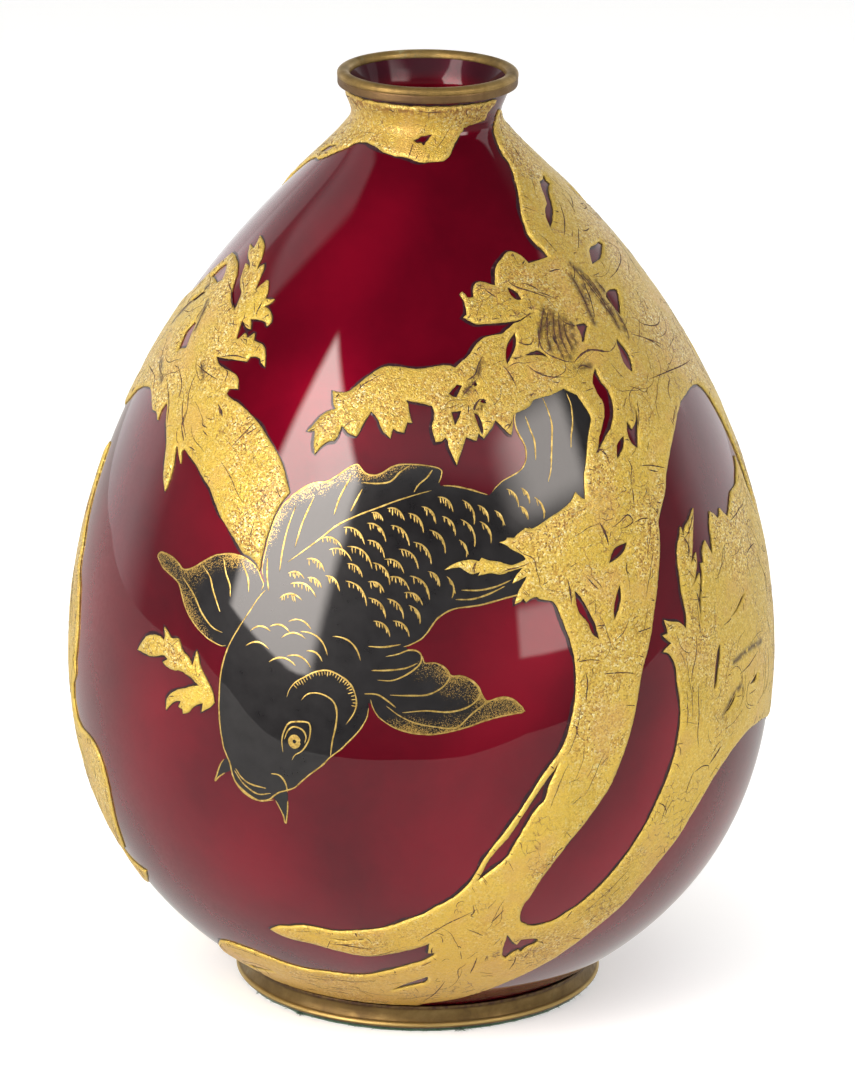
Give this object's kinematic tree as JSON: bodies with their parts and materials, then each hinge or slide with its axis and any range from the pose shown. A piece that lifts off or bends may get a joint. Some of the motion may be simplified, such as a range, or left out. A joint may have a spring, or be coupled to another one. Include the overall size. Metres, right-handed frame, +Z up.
{
  "type": "enamelled vase",
  "caption": "Tapered copper vase in translucent ruby enamel, with a narrow brass rim, gold relief trees, a painted black koi and a brass foot ring on felt.",
  "frame": {"origin": "middle of the foot's underside, on the vase's axis", "axes": "+Z up along the vase's axis, -Y towards the side with the koi, +X to its right"},
  "size_m": [0.2264, 0.2252, 0.298],
  "materials": {
    "copper": "bare, hidden under enamel",
    "ruby_enamel": "translucent high gloss",
    "aged_brass": "aged, satin",
    "green_felt": "matt pile",
    "gold_leaf": "gold leaf over granular paste",
    "black_enamel": "high gloss",
    "gilt_line": "burnished gilding"
  },
  "bodies": {
    "root": {"copper_body": "copper", "ruby_enamel_ground": "ruby_enamel", "interior_enamel": "ruby_enamel", "base_enamel": "ruby_enamel", "mouth_rim": "aged_brass", "foot_ring": "aged_brass", "felt_pad": "green_felt", "neck_collar_relief": "gold_leaf", "right_tree_relief": "gold_leaf", "left_foliage_relief": "gold_leaf", "left_sprig_relief": "gold_leaf", "left_back_tree_relief": "gold_leaf", "back_tree_relief": "gold_leaf", "back_sprig_relief": "gold_leaf", "koi_body_enamel": "black_enamel", "koi_dorsal_fin_enamel": "black_enamel", "koi_tail_enamel": "black_enamel", "koi_far_fin_enamel": "black_enamel", "koi_near_fin_enamel": "black_enamel", "koi_far_barbel_enamel": "black_enamel", "koi_near_barbel_enamel": "black_enamel", "koi_eye_gilding": "gilt_line"}
  },
  "joints": []
}
